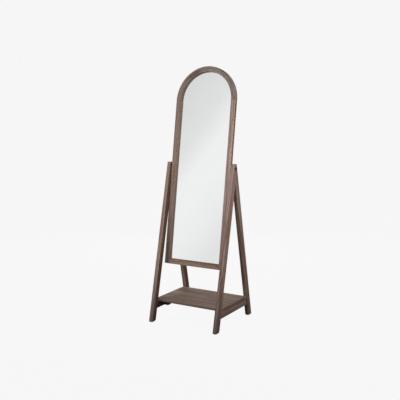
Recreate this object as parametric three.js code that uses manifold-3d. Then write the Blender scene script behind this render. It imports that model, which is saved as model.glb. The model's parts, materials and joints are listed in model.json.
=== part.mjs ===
// Cheval floor mirror: an arched mirror in a wooden frame, hung on two friction pivots between two
// A-shaped side frames that a low shelf ties together.
// Millimetres. +X is the viewer's right, -Y the front and +Z up. The origin is on the floor, midway
// between the four feet. The tilting mirror is built about its pivot axis in a group of its own.
import * as THREE from 'three';
import { mergeVertices } from 'three/addons/utils/BufferGeometryUtils.js';
import Module from 'manifold-3d';

const wasm = await Module();
wasm.setup();

// ---- Driving dimensions ----
const FIT_GAP = 0.3; // clearance between pieces that touch
const SIDES = [['left', -1], ['right', 1]]; // sign of X
const ENDS = [['front', -1], ['rear', 1]]; // sign of Y

const STAND_WIDTH = 500; // over the outer faces of the side frames
const STAND_DEPTH = 496; // over the feet, if the legs ran down to the floor
const STAND_HEIGHT = 1030;
const LEG_THICKNESS = 26; // along X
const LEG_DEPTH = 42; // section of a leg, measured level from front to rear
const APEX_DEPTH = 28; // flat top of a side frame, where its two legs meet
const GLIDE = { width: 20, depth: 34, height: 3 };

const SHELF_TOP = 141;
const SHELF_THICKNESS = 16;
const SHELF_WIDTH = 494;
const SHELF_CLEARANCE = 1; // from the board's top edge to each leg
const RAIL_HEIGHT = 46;
const RAIL_THICKNESS = 15;
const RAIL_INSET = 6; // from a side frame's outer face in to a rail's outer face
const BLOCK = { length: 33, depth: 36, height: 43, spread: 165 }; // spread between two on one rail

const PIVOT_DROP = 28; // below the flat top of a side frame
const TILT = THREE.MathUtils.degToRad(8.4); // top leans back
const MIRROR_GAP = 5; // between a side frame and the mirror's frame
const MIRROR_BELOW = 642; // from the pivot down to the bottom edge
const MIRROR_ABOVE = 651; // from the pivot up to the crown of the arch
const FACE_WIDTH = 34; // of the mirror's frame, seen from the front
const FRAME_THICKNESS = 22;
const LIP_THICKNESS = 16; // wood in front of the glass
const REBATE_WIDTH = 9; // how far the frame covers the glass, with its clearance
const GLASS_CLEARANCE = 1; // round the glass's edge, inside the rebate
const GLASS_THICKNESS = 3;
const BACKING_THICKNESS = 2.4;

const BOLT = {
  shank: 3, length: 46, headRadius: 8.5, headHeight: 3, edge: 0.8, socket: 2.9, socketDepth: 1.8,
};
const HEAD_WASHER = { radius: 10, thickness: 1 };
const FRICTION_WASHER_RADIUS = 12;
const INSERT = { radius: 5, length: 15 };
const BORE_CLEARANCE = 0.3; // round a bolt's shank
const DOWEL_CLEARANCE = 0.3;
const APEX_DOWEL = { radius: 4, length: 30 };
const RAIL_DOWEL = { radius: 3, length: 30 };
const FRAME_DOWEL = { radius: 3, length: 28 };
const APEX_DOWEL_DROPS = [64, 96]; // below the flat top of a side frame
const CLIP = { length: 30, width: 12, thickness: 1.5, overhang: 10 };
const CLIP_SCREW = { shank: 1.6, length: 13, headRadius: 3.4, headHeight: 1.8 };
const BLOCK_SCREW = { shank: 2, length: 54, headRadius: 4, headHeight: 2 };

const ARC_STEPS = 24; // facets in a quarter turn of the arch
const ROUND_STEPS = 24; // facets round a bolt, washer or bore
const SMALL_STEPS = 16; // facets round a dowel or screw

// ---- Derived dimensions ----
const HALF_WIDTH = STAND_WIDTH / 2;
const LEG_INNER_X = HALF_WIDTH - LEG_THICKNESS;
const LEG_CENTRE_X = HALF_WIDTH - LEG_THICKNESS / 2;
const LEG_SLOPE = (STAND_DEPTH - APEX_DEPTH) / 2 / STAND_HEIGHT; // run along Y for each unit of height
const LEG_BASE = GLIDE.height + FIT_GAP;
const SHELF_UNDERSIDE = SHELF_TOP - SHELF_THICKNESS;
const RAIL_TOP = SHELF_UNDERSIDE - FIT_GAP;
const RAIL_BOTTOM = SHELF_UNDERSIDE - RAIL_HEIGHT;
const RAIL_OUTER_X = HALF_WIDTH - RAIL_INSET;
const RAIL_CENTRE_X = RAIL_OUTER_X - RAIL_THICKNESS / 2;
const RAIL_INNER_X = RAIL_OUTER_X - RAIL_THICKNESS;
const PIVOT_HEIGHT = STAND_HEIGHT - PIVOT_DROP;
const FRAME_RADIUS = LEG_INNER_X - MIRROR_GAP; // outer radius of the arch, half the frame's width
const SIGHT_RADIUS = FRAME_RADIUS - FACE_WIDTH;
const REBATE_RADIUS = SIGHT_RADIUS + REBATE_WIDTH;
const GLASS_RADIUS = REBATE_RADIUS - GLASS_CLEARANCE;
const SPRING_HEIGHT = MIRROR_ABOVE - FRAME_RADIUS; // where the arch starts, above the pivot
const FRAME_FRONT = -FRAME_THICKNESS / 2;
const FRAME_BACK = FRAME_THICKNESS / 2;
const LIP_BACK = FRAME_FRONT + LIP_THICKNESS;
const RAIL_SIGHT = -MIRROR_BELOW + FACE_WIDTH; // top edge of the mirror's bottom rail
const REBATE_FLOOR = RAIL_SIGHT - REBATE_WIDTH;
const BORE_RADIUS = BOLT.shank + BORE_CLEARANCE;

// Distance from the middle plane to a leg's outer (front or rear) edge, and to its inner edge.
const legOuter = (height) => STAND_DEPTH / 2 - LEG_SLOPE * height;
const legInner = (height) => legOuter(height) - LEG_DEPTH;

// ---- Materials ----
function paint(color, roughness, metalness) {
  return new THREE.MeshStandardMaterial({ color, roughness, metalness });
}

const wood = paint(0x7a675c, 0.6, 0);
const darkWood = paint(0x54443b, 0.7, 0);
const dowelWood = paint(0xb89a72, 0.7, 0);
const hardboard = paint(0x6b5138, 0.85, 0);
const silveredGlass = paint(0xdfe4e4, 0.03, 1);
const blackSteel = paint(0x24221f, 0.45, 0.9);
const zincSteel = paint(0x9a9c9c, 0.35, 1);
const brass = paint(0xb08d4a, 0.35, 1);
const nylon = paint(0x2b2927, 0.55, 0);

// ---- Geometry helpers ----
function outline(points) {
  return new THREE.Shape(points.map(([x, y]) => new THREE.Vector2(x, y)));
}

// Extrudes a shape along +Z, with the facets that an arc of the arch needs.
function extrude(shape, depth, curveSegments = ARC_STEPS) {
  return new THREE.ExtrudeGeometry(shape, { depth, bevelEnabled: false, curveSegments });
}

// Turns an outline drawn in (Y, Z) into a board that starts at x and runs along +X.
function boardAlongX(points, x, thickness) {
  const frame = new THREE.Matrix4().makeBasis(
    new THREE.Vector3(0, 1, 0), new THREE.Vector3(0, 0, 1), new THREE.Vector3(1, 0, 0));
  return extrude(outline(points), thickness).applyMatrix4(frame).translate(x, 0, 0);
}

// Turns a shape drawn in (X, Z) into a panel that lies between the planes y = front and y = back.
function panelAlongY(shape, front, back) {
  return extrude(shape, back - front).rotateX(Math.PI / 2).translate(0, back, 0);
}

function block(size, centre) {
  return new THREE.BoxGeometry(...size).translate(...centre);
}

function rod(axis, radius, length, centre, steps = SMALL_STEPS) {
  const geometry = new THREE.CylinderGeometry(radius, radius, length, steps);
  if (axis === 'x') geometry.rotateZ(-Math.PI / 2);
  if (axis === 'z') geometry.rotateX(Math.PI / 2);
  return geometry.translate(...centre);
}

function ring(radius, bore, thickness) {
  const shape = new THREE.Shape().absarc(0, 0, radius, 0, 2 * Math.PI);
  shape.holes.push(new THREE.Path().absarc(0, 0, bore, 0, 2 * Math.PI));
  return extrude(shape, thickness, ROUND_STEPS);
}

function solidOf(geometry) {
  const bare = geometry.clone();
  bare.deleteAttribute('normal');
  bare.deleteAttribute('uv');
  const merged = mergeVertices(bare, 1e-4);
  return new wasm.Manifold(new wasm.Mesh({
    numProp: 3,
    vertProperties: Float32Array.from(merged.attributes.position.array),
    triVerts: Uint32Array.from(merged.index.array),
  }));
}

function geometryOf(solid) {
  const mesh = solid.getMesh();
  const geometry = new THREE.BufferGeometry();
  geometry.setAttribute('position', new THREE.BufferAttribute(mesh.vertProperties, 3));
  geometry.setIndex(new THREE.BufferAttribute(mesh.triVerts, 1));
  geometry.computeVertexNormals();
  return geometry;
}

function cut(geometry, tools) {
  return geometryOf(tools.reduce((solid, tool) => solid.subtract(solidOf(tool)), solidOf(geometry)));
}

function piece(name, geometry, material) {
  const mesh = new THREE.Mesh(geometry, material);
  mesh.name = name;
  return mesh;
}

// ---- Side frames ----
// Two legs lean together and meet in a mitre on the middle plane, with half of the pivot bore in each.
function leg(sideName, side, endName, end) {
  const mitre = FIT_GAP / 2;
  const crotch = (legInner(0) - mitre) / LEG_SLOPE;
  const points = [
    [end * legOuter(LEG_BASE), LEG_BASE],
    [end * legInner(LEG_BASE), LEG_BASE],
    [end * mitre, crotch],
    [end * mitre, STAND_HEIGHT],
    [end * legOuter(STAND_HEIGHT), STAND_HEIGHT],
  ];
  const centreX = side * LEG_CENTRE_X;
  const body = boardAlongX(points, centreX - LEG_THICKNESS / 2, LEG_THICKNESS);
  const pivotBore = rod('x', BORE_RADIUS, 2 * LEG_THICKNESS, [centreX, 0, PIVOT_HEIGHT], ROUND_STEPS);
  const dowelHoles = [
    ...APEX_DOWEL_DROPS.map((drop) => dowelHole('y', APEX_DOWEL, apexDowelCentre(side, drop))),
    dowelHole('y', RAIL_DOWEL, railDowelCentre(side, end)),
  ];
  return piece(`${sideName}_${endName}_leg`, cut(body, [pivotBore, ...dowelHoles]), wood);
}

function dowelHole(axis, dowel, centre) {
  return rod(axis, dowel.radius + DOWEL_CLEARANCE, dowel.length + 2 * DOWEL_CLEARANCE, centre);
}

function apexDowelCentre(side, drop) {
  return [side * LEG_CENTRE_X, 0, STAND_HEIGHT - drop];
}

function railDowelCentre(side, end) {
  const height = (RAIL_TOP + RAIL_BOTTOM) / 2;
  return [side * RAIL_CENTRE_X, end * legInner(height), height];
}

function glide(sideName, side, endName, end) {
  const y = end * (legOuter(LEG_BASE) - LEG_DEPTH / 2);
  const centre = [side * LEG_CENTRE_X, y, GLIDE.height / 2];
  const geometry = block([GLIDE.width, GLIDE.depth, GLIDE.height], centre);
  return piece(`${sideName}_${endName}_glide`, geometry, nylon);
}

function apexDowels(sideName, side) {
  return APEX_DOWEL_DROPS.map((drop, index) => {
    const geometry = rod('y', APEX_DOWEL.radius, APEX_DOWEL.length, apexDowelCentre(side, drop));
    return piece(`${sideName}_apex_dowel_${index + 1}`, geometry, dowelWood);
  });
}

// A rail ties the two legs of a side frame and carries one end of the shelf.
function sideRail(sideName, side) {
  const bottom = legInner(RAIL_BOTTOM) - FIT_GAP;
  const top = legInner(RAIL_TOP) - FIT_GAP;
  const points = [[-bottom, RAIL_BOTTOM], [bottom, RAIL_BOTTOM], [top, RAIL_TOP], [-top, RAIL_TOP]];
  const body = boardAlongX(points, side * RAIL_CENTRE_X - RAIL_THICKNESS / 2, RAIL_THICKNESS);
  const holes = ENDS.map(([, end]) => dowelHole('y', RAIL_DOWEL, railDowelCentre(side, end)));
  return piece(`${sideName}_side_rail`, cut(body, holes), wood);
}

function railDowel(sideName, side, endName, end) {
  const geometry = rod('y', RAIL_DOWEL.radius, RAIL_DOWEL.length, railDowelCentre(side, end));
  return piece(`${sideName}_${endName}_rail_dowel`, geometry, dowelWood);
}

// ---- Shelf ----
const SHELF_DEPTH = 2 * (legInner(SHELF_TOP) - SHELF_CLEARANCE);
const BLOCK_CENTRE_X = RAIL_INNER_X - FIT_GAP - BLOCK.length / 2;
const BLOCK_CENTRE_Y = BLOCK.spread / 2;
const BLOCK_BOTTOM = SHELF_UNDERSIDE - FIT_GAP - BLOCK.height;

// A screw with its head at the bottom and its point up, drawn about the underside of the head.
function screwGeometry({ shank, length, headRadius, headHeight }) {
  const point = shank;
  const profile = [
    [0, -headHeight], [headRadius * 0.8, -headHeight], [headRadius, -headHeight * 0.5], [headRadius, 0],
    [shank, 0], [shank, length - point], [0, length],
  ];
  const points = profile.map(([radius, z]) => new THREE.Vector2(radius, z));
  return new THREE.LatheGeometry(points, SMALL_STEPS).rotateX(Math.PI / 2);
}

function blockScrewHole(side, end) {
  const centre = [side * BLOCK_CENTRE_X, end * BLOCK_CENTRE_Y, BLOCK_BOTTOM + BLOCK_SCREW.length / 2];
  return rod('z', BLOCK_SCREW.shank + FIT_GAP, BLOCK_SCREW.length + 2 * FIT_GAP, centre);
}

function shelfBoard() {
  const centreZ = SHELF_TOP - SHELF_THICKNESS / 2;
  const body = block([SHELF_WIDTH, SHELF_DEPTH, SHELF_THICKNESS], [0, 0, centreZ]);
  const holes = SIDES.flatMap(([, side]) => ENDS.map(([, end]) => blockScrewHole(side, end)));
  return piece('shelf_board', cut(body, holes), wood);
}

// Glued to the inner face of a side rail, and screwed to the board from below.
function shelfBlock(sideName, side, endName, end) {
  const centre = [side * BLOCK_CENTRE_X, end * BLOCK_CENTRE_Y, BLOCK_BOTTOM + BLOCK.height / 2];
  const body = block([BLOCK.length, BLOCK.depth, BLOCK.height], centre);
  return piece(`${sideName}_${endName}_shelf_block`, cut(body, [blockScrewHole(side, end)]), darkWood);
}

function blockScrew(sideName, side, endName, end) {
  const mesh = piece(`${sideName}_${endName}_block_screw`, screwGeometry(BLOCK_SCREW), zincSteel);
  mesh.position.set(side * BLOCK_CENTRE_X, end * BLOCK_CENTRE_Y, BLOCK_BOTTOM - FIT_GAP);
  return mesh;
}

// ---- Mirror frame, drawn upright about the pivot axis ----
// The rebate that holds the glass is cut from the back, and stops inside the bottom rail.
function rebateTool() {
  return panelAlongY(archedShape(REBATE_RADIUS, REBATE_FLOOR), LIP_BACK, FRAME_BACK + 1);
}

// Straight sides up to the spring of the arch, then a half circle.
function archedShape(radius, bottom) {
  return new THREE.Shape()
    .moveTo(-radius, bottom)
    .lineTo(radius, bottom)
    .lineTo(radius, SPRING_HEIGHT)
    .absarc(0, SPRING_HEIGHT, radius, 0, Math.PI);
}

const STILE_TOP = SPRING_HEIGHT - FIT_GAP / 2;
const CLIP_HEIGHTS = [-470, 130]; // along the stiles, from the pivot
const CLIP_RISE = THREE.MathUtils.degToRad(52); // of the clip on each half of the arch
const CLIP_SCREW_RADIUS = GLASS_RADIUS - CLIP.overhang + CLIP.length - CLIP.width / 2;

// Each clip has its screw in the frame's solid wood, and reaches in over the backing board.
function clipPlaces(side) {
  const stileTurn = side > 0 ? 0 : Math.PI;
  const onStile = CLIP_HEIGHTS.map((z) => ({ x: side * CLIP_SCREW_RADIUS, z, turn: stileTurn }));
  const turn = side > 0 ? CLIP_RISE : Math.PI - CLIP_RISE;
  const onArch = {
    x: CLIP_SCREW_RADIUS * Math.cos(turn),
    z: SPRING_HEIGHT + CLIP_SCREW_RADIUS * Math.sin(turn),
    turn,
  };
  return [...onStile, onArch];
}

function clipScrewHoles(side) {
  const depth = CLIP_SCREW.length + 1;
  const centreY = FRAME_BACK + 1 - depth / 2;
  return clipPlaces(side).map(({ x, z }) => rod('y', CLIP_SCREW.shank + FIT_GAP, depth, [x, centreY, z]));
}

function stileRailDowelCentre(side) {
  const height = -MIRROR_BELOW + (FACE_WIDTH - REBATE_WIDTH) / 2;
  return [side * SIGHT_RADIUS, (FRAME_FRONT + LIP_BACK) / 2, height];
}

function springDowelCentre(side) {
  return [side * (FRAME_RADIUS + REBATE_RADIUS) / 2, 0, SPRING_HEIGHT];
}

function crownDowelCentre() {
  return [0, 0, MIRROR_ABOVE - (FACE_WIDTH - REBATE_WIDTH) / 2];
}

function stile(sideName, side) {
  const height = STILE_TOP + MIRROR_BELOW;
  const centre = [side * (FRAME_RADIUS - FACE_WIDTH / 2), 0, STILE_TOP - height / 2];
  const body = block([FACE_WIDTH, FRAME_THICKNESS, height], centre);
  const insertCentre = [side * (FRAME_RADIUS - (INSERT.length + FIT_GAP) / 2), 0, 0];
  const shankBoreCentre = [side * (FRAME_RADIUS - FACE_WIDTH / 2), 0, 0];
  const tools = [
    rebateTool(),
    rod('x', INSERT.radius + DOWEL_CLEARANCE, INSERT.length + 3 * FIT_GAP, insertCentre, ROUND_STEPS),
    rod('x', BORE_RADIUS, FACE_WIDTH - 2 * REBATE_WIDTH, shankBoreCentre, ROUND_STEPS),
    dowelHole('x', FRAME_DOWEL, stileRailDowelCentre(side)),
    dowelHole('z', FRAME_DOWEL, springDowelCentre(side)),
    ...clipScrewHoles(side),
  ];
  return piece(`${sideName}_stile`, cut(body, tools), wood);
}

// Half of the arch: a quarter ring from the spring to the crown.
function archSegment(sideName, side) {
  const [start, end] = side > 0 ? [0, Math.PI / 2] : [Math.PI / 2, Math.PI];
  const shape = new THREE.Shape()
    .absarc(0, 0, FRAME_RADIUS, start, end)
    .absarc(0, 0, SIGHT_RADIUS, end, start, true);
  const body = panelAlongY(shape, FRAME_FRONT, FRAME_BACK)
    .translate(side * FIT_GAP / 2, 0, SPRING_HEIGHT + FIT_GAP / 2);
  const tools = [
    rebateTool(),
    dowelHole('z', FRAME_DOWEL, springDowelCentre(side)),
    dowelHole('x', FRAME_DOWEL, crownDowelCentre()),
    ...clipScrewHoles(side),
  ];
  return piece(`${sideName}_arch_segment`, cut(body, tools), wood);
}

function bottomRail() {
  const length = 2 * (SIGHT_RADIUS - FIT_GAP);
  const body = block([length, FRAME_THICKNESS, FACE_WIDTH], [0, 0, -MIRROR_BELOW + FACE_WIDTH / 2]);
  const dowelHoles = SIDES.map(([, side]) => dowelHole('x', FRAME_DOWEL, stileRailDowelCentre(side)));
  return piece('mirror_bottom_rail', cut(body, [rebateTool(), ...dowelHoles]), wood);
}

function frameDowels() {
  const dowel = (name, axis, centre) =>
    piece(name, rod(axis, FRAME_DOWEL.radius, FRAME_DOWEL.length, centre), dowelWood);
  const perSide = SIDES.flatMap(([sideName, side]) => [
    dowel(`${sideName}_bottom_rail_dowel`, 'x', stileRailDowelCentre(side)),
    dowel(`${sideName}_spring_dowel`, 'z', springDowelCentre(side)),
  ]);
  return [...perSide, dowel('crown_dowel', 'x', crownDowelCentre())];
}

// ---- Glass, backing and what holds them ----
const GLASS_FRONT = LIP_BACK + FIT_GAP;
const GLASS_BACK = GLASS_FRONT + GLASS_THICKNESS;
const BACKING_FRONT = GLASS_BACK + FIT_GAP;
const BACKING_BACK = BACKING_FRONT + BACKING_THICKNESS;

function glass() {
  const shape = archedShape(GLASS_RADIUS, REBATE_FLOOR + GLASS_CLEARANCE);
  return piece('mirror_glass', panelAlongY(shape, GLASS_FRONT, GLASS_BACK), silveredGlass);
}

function backingBoard() {
  const shape = archedShape(GLASS_RADIUS, REBATE_FLOOR + GLASS_CLEARANCE);
  return piece('backing_board', panelAlongY(shape, BACKING_FRONT, BACKING_BACK), hardboard);
}

// A round-ended plate, drawn about its screw hole and reaching along -X.
function clipGeometry() {
  const radius = CLIP.width / 2;
  const reach = CLIP.length - CLIP.width;
  const shape = new THREE.Shape()
    .absarc(-reach, 0, radius, Math.PI / 2, 3 * Math.PI / 2)
    .absarc(0, 0, radius, -Math.PI / 2, Math.PI / 2);
  shape.holes.push(new THREE.Path().absarc(0, 0, CLIP_SCREW.shank + FIT_GAP, 0, 2 * Math.PI));
  const plate = extrude(shape, CLIP.thickness, SMALL_STEPS / 2);
  return plate.rotateX(Math.PI / 2).translate(0, CLIP.thickness, 0);
}

function backingClips(sideName, side) {
  const clipBack = FRAME_BACK + FIT_GAP + CLIP.thickness;
  return clipPlaces(side).flatMap(({ x, z, turn }, index) => {
    const clip = piece(`${sideName}_backing_clip_${index + 1}`, clipGeometry(), zincSteel);
    clip.position.set(x, FRAME_BACK + FIT_GAP, z);
    clip.rotation.y = -turn;
    const screw = piece(`${sideName}_clip_screw_${index + 1}`, screwGeometry(CLIP_SCREW), zincSteel);
    screw.position.set(x, clipBack + FIT_GAP, z);
    screw.rotation.x = Math.PI / 2;
    return [clip, screw];
  });
}

// ---- Pivot hardware ----
// From the outside in: bolt head, steel washer, side frame, friction washer, threaded insert.
const HEAD_WASHER_X = HALF_WIDTH + FIT_GAP;
const HEAD_X = HEAD_WASHER_X + HEAD_WASHER.thickness + FIT_GAP;

// Lays a geometry drawn along +Z on the pivot axis, so that its base is at x and it points outwards.
function outwards(geometry, side, x) {
  return geometry.rotateY(side * Math.PI / 2).translate(side * x, 0, 0);
}

function pivotBolt(sideName, side) {
  const { shank, length, headRadius, headHeight, edge, socket, socketDepth } = BOLT;
  const profile = [
    [0, -length], [shank, -length], [shank, 0], [headRadius, 0],
    [headRadius, headHeight - edge], [headRadius - edge, headHeight], [0, headHeight],
  ];
  const points = profile.map(([radius, z]) => new THREE.Vector2(radius, z));
  const body = new THREE.LatheGeometry(points, ROUND_STEPS).rotateX(Math.PI / 2);
  const hexagon = new THREE.CylinderGeometry(socket, socket, 2 * socketDepth, 6);
  const geometry = cut(body, [hexagon.rotateX(Math.PI / 2).translate(0, 0, headHeight)]);
  return piece(`${sideName}_pivot_bolt`, outwards(geometry, side, HEAD_X), blackSteel);
}

function pivotHardware(sideName, side) {
  const frictionThickness = MIRROR_GAP - 2 * FIT_GAP;
  const headWasher = ring(HEAD_WASHER.radius, BORE_RADIUS, HEAD_WASHER.thickness);
  const frictionWasher = ring(FRICTION_WASHER_RADIUS, BORE_RADIUS, frictionThickness);
  const insert = ring(INSERT.radius, BORE_RADIUS, INSERT.length);
  const insertX = FRAME_RADIUS - FIT_GAP - INSERT.length;
  return [
    pivotBolt(sideName, side),
    piece(`${sideName}_head_washer`, outwards(headWasher, side, HEAD_WASHER_X), blackSteel),
    piece(`${sideName}_friction_washer`, outwards(frictionWasher, side, FRAME_RADIUS + FIT_GAP), nylon),
    piece(`${sideName}_threaded_insert`, outwards(insert, side, insertX), brass),
  ];
}

// ---- Assembly ----
const stand = new THREE.Group();
for (const [sideName, side] of SIDES) {
  for (const [endName, end] of ENDS) {
    stand.add(leg(sideName, side, endName, end));
    stand.add(glide(sideName, side, endName, end));
    stand.add(railDowel(sideName, side, endName, end));
    stand.add(shelfBlock(sideName, side, endName, end));
    stand.add(blockScrew(sideName, side, endName, end));
  }
  stand.add(...apexDowels(sideName, side));
  stand.add(sideRail(sideName, side));
}
stand.add(shelfBoard());

const mirror = new THREE.Group();
mirror.position.z = PIVOT_HEIGHT;
mirror.rotation.x = -TILT;
for (const [sideName, side] of SIDES) {
  mirror.add(stile(sideName, side));
  mirror.add(archSegment(sideName, side));
  mirror.add(...backingClips(sideName, side));
  mirror.add(...pivotHardware(sideName, side));
}
mirror.add(bottomRail(), glass(), backingBoard(), ...frameDowels());

const group = new THREE.Group();
group.add(stand, mirror);

export default group;
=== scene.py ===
import json
import math
import random
from collections import namedtuple

import bmesh
import bpy
from mathutils import Matrix, Vector


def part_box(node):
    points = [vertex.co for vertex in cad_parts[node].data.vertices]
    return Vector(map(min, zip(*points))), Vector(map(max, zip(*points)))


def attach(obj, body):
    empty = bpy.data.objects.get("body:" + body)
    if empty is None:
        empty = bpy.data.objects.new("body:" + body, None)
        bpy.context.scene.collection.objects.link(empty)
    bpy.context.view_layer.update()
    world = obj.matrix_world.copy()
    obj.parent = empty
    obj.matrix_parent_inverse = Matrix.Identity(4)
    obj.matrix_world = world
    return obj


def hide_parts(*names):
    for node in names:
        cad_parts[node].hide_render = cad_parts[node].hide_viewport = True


# The looks of the cheval mirror: two A-shaped side frames, a low shelf, and an arched mirror that tilts
# on two friction pivots. Metres, +X to the viewer's right, -Y the front, +Z up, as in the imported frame.
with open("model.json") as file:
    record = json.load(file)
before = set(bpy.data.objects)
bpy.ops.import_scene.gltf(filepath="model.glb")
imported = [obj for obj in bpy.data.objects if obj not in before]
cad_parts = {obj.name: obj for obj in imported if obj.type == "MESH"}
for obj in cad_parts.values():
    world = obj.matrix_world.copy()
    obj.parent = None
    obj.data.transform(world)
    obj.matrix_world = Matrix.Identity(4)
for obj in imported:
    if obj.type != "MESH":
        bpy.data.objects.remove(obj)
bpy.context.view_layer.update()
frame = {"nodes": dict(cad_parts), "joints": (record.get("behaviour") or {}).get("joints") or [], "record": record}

# ---- Dimensions that the frame's boxes don't give ----
MM = 0.001
TILT = math.radians(8.4)  # the mirror leans back about its pivots
APEX_DEPTH = 28 * MM  # flat top of a side frame
LEG_DEPTH = 42 * MM  # a leg's section, measured level
GLASS_GAP = 1 * MM  # round the glass, inside the rebate
SHELF_STRIPS = 5  # glued edge to edge

DRILL_CLEARANCE = 0.3 * MM  # round a dowel, insert, bolt or screw
OVERCUT = 1 * MM  # how far the rebate's cutter runs out of the back of the frame
IN_LINE = 0.1 * MM  # points this close to a plane lie in it

BOLT_SHANK_RADIUS = 3 * MM
BOLT_BORE = BOLT_SHANK_RADIUS + DRILL_CLEARANCE
BOLT_HEAD_HEIGHT = 3 * MM
BOLT_TIP_WIDTH = 0.5 * MM  # the chamfer at a bolt's end: how far it goes in
BOLT_TIP_LENGTH = 0.8 * MM  # and how far along
SOCKET_RADIUS = 2.9 * MM  # to a corner of the hexagon
SOCKET_DEPTH = 1.8 * MM

CLIP_HALF_WIDTH = 6 * MM
CLIP_DRILL_LENGTH = 10 * MM  # well through the plate
CLIP_SHANK_RADIUS = 1.6 * MM  # of the screws that hold the clips
CLIP_HEAD_HEIGHT = 1.8 * MM
BLOCK_SHANK_RADIUS = 2 * MM  # of the screws through the shelf blocks
BLOCK_HEAD_HEIGHT = 2 * MM
# The cross recess in a screw's head, as shares of the head's radius.
CROSS_REACH = 0.62
CROSS_HALF_WIDTH = 0.13
CROSS_FLOOR = 0.45  # above the underside of the head, as a share of its height

# ---- Rounding and facets ----
ARRIS = 1.6 * MM  # rounding of the edges that a hand meets
JOINT_ARRIS = 0.5 * MM  # rounding where two boards meet
GLIDE_ROUNDING = 1.2 * MM
CLIP_ROUNDING = 0.4 * MM
BOLT_HEAD_ROUNDING = 0.9 * MM
WASHER_ROUNDING = 0.4 * MM  # or less, on a thin washer
ROUNDED_ANGLE = math.radians(30)  # an edge that turns more than this is rounded
SMOOTH_ANGLE = math.radians(40)  # an edge that turns less than this is shaded smooth
TURNED_SMOOTH_ANGLE = math.radians(35)  # the same on turned metal
ARRIS_STEPS = 3
RIM_STEPS = 4  # over the rounded rim of a bolt head or washer
ARC_STEPS = 48  # in a quarter turn of the arch
ROUND_STEPS = 48  # round a bolt or washer
SCREW_STEPS = 24
DOME_STEPS = 6  # from a screw head's middle to its rim
HOLE_STEPS = 24
HEXAGON = 6
CLIP_END_STEPS = 16

# ---- Stain ----
# How bare of stain some faces are, or how much painted light they get. Other faces are at 0, and a face below 0
# gets painted shade.
ARRIS_BARENESS = 0.35  # rubbed edges
REVEAL_PAINTED_LIGHT = 5  # painted light on the mirror frame's inner face, round the glass, for the light that the glass throws onto it
SHELF_EDGE_BARENESS = 0.8  # its front and rear edges
# painted shade on each stile's outer face
STILE_EDGE_PAINTED_SHADE = -0.75
INNER_FACE_PAINTED_SHADE = -1  # painted shade on the inner faces of the legs and side rails
SQUARE_ON = 0.99  # cosine of the angle by which a flat face may miss a direction
ROUGHLY_ON = 0.7  # and a curved one
# How much end grain darkens.
END_STAIN = 0.4
LEG_END_STAIN = 0.95
SHELF_END_STAIN = 0.15
# Painted shade darkens the feet: by how much, at and below which height, and up to which.
FOOT_SHADE_TONES = {"left": 0.86, "right": 0.68}
FOOT_DARKEST = 20 * MM
FOOT_TOP = 200 * MM

SIDES = (("left", -1), ("right", 1))
ENDS = (("front", -1), ("rear", 1))

PIVOT = Vector(frame["joints"][0]["pos_m"])
# Takes the mirror as drawn upright about its pivot axis to its place at rest.
MIRROR = Matrix.Translation(PIVOT) @ Matrix.Rotation(-TILT, 4, "X")
STAND = Matrix.Identity(4)
SLOTS = {entry["node"]: entry["material_slot"] for entry in frame["record"]["subparts"]}


def extent(node, place=STAND):
    """Lowest and highest corner of a CAD node, in the axes that place stands for."""
    inverse = place.inverted()
    points = [inverse @ vertex.co for vertex in frame["nodes"][node].data.vertices]
    low = Vector(min(point[axis] for point in points) for axis in range(3))
    high = Vector(max(point[axis] for point in points) for axis in range(3))
    return low, high


# ---- Mesh helpers ----
def mesh_object(name, bm):
    bmesh.ops.recalc_face_normals(bm, faces=bm.faces)
    mesh = bpy.data.meshes.new(name)
    bm.to_mesh(mesh)
    bm.free()
    piece = bpy.data.objects.new(name, mesh)
    bpy.context.scene.collection.objects.link(piece)
    return piece


def extruded(outline, offset):
    """A closed solid: the outline, a list of corners, carried along offset."""
    bm = bmesh.new()
    face = bm.faces.new([bm.verts.new(corner) for corner in outline])
    moved = bmesh.ops.extrude_face_region(bm, geom=[face])["geom"]
    far_corners = [item for item in moved if isinstance(item, bmesh.types.BMVert)]
    bmesh.ops.translate(bm, vec=offset, verts=far_corners)
    return bm


def box_solid(low, high):
    outline = [(low.x, low.y, low.z), (high.x, low.y, low.z),
               (high.x, high.y, low.z), (low.x, high.y, low.z)]
    return extruded(outline, (0, 0, high.z - low.z))


def lathed(profile, steps=ROUND_STEPS):
    """A solid turned about Z, from a profile in (radius, height). The profile starts and ends on the
    axis, or it starts off the axis and is closed into a ring."""
    bm = bmesh.new()
    rings = []
    for radius, height in profile:
        count = steps if radius > 0 else 1
        turns = [2 * math.pi * step / steps for step in range(count)]
        rings.append([bm.verts.new((radius * math.cos(turn), radius * math.sin(turn), height))
                      for turn in turns])
    is_ring = profile[0][0] > 0
    next_rings = rings[1:] + rings[:1] if is_ring else rings[1:]
    for lower, upper in zip(rings, next_rings):
        for step in range(steps):
            following = (step + 1) % steps
            corners = [lower[step % len(lower)], lower[following % len(lower)],
                       upper[following % len(upper)], upper[step % len(upper)]]
            bm.faces.new(list(dict.fromkeys(corners)))
    return bm


def drill(centre, axis, radius, length, sides=HOLE_STEPS):
    """A cylinder or prism to cut with, about its centre and along X, Y or Z."""
    bm = bmesh.new()
    bmesh.ops.create_cone(bm, cap_ends=True, segments=sides, radius1=radius, radius2=radius, depth=length)
    turn = Vector((0, 0, 1)).rotation_difference(Vector(axis)).to_matrix().to_4x4()
    bmesh.ops.transform(bm, matrix=Matrix.Translation(centre) @ turn, verts=bm.verts)
    return bm


def drill_for(node, place=STAND, radius=None):
    """The hole that a dowel, insert or screw sits in: its own length, and its own or the given radius."""
    low, high = extent(node, place)
    size = high - low
    long_axis = max(range(3), key=lambda index: size[index])
    axis = [0, 0, 0]
    axis[long_axis] = 1
    own_radius = min(size) / 2
    length = size[long_axis] + 2 * DRILL_CLEARANCE
    return drill((low + high) / 2, axis, (radius or own_radius) + DRILL_CLEARANCE, length)


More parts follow.
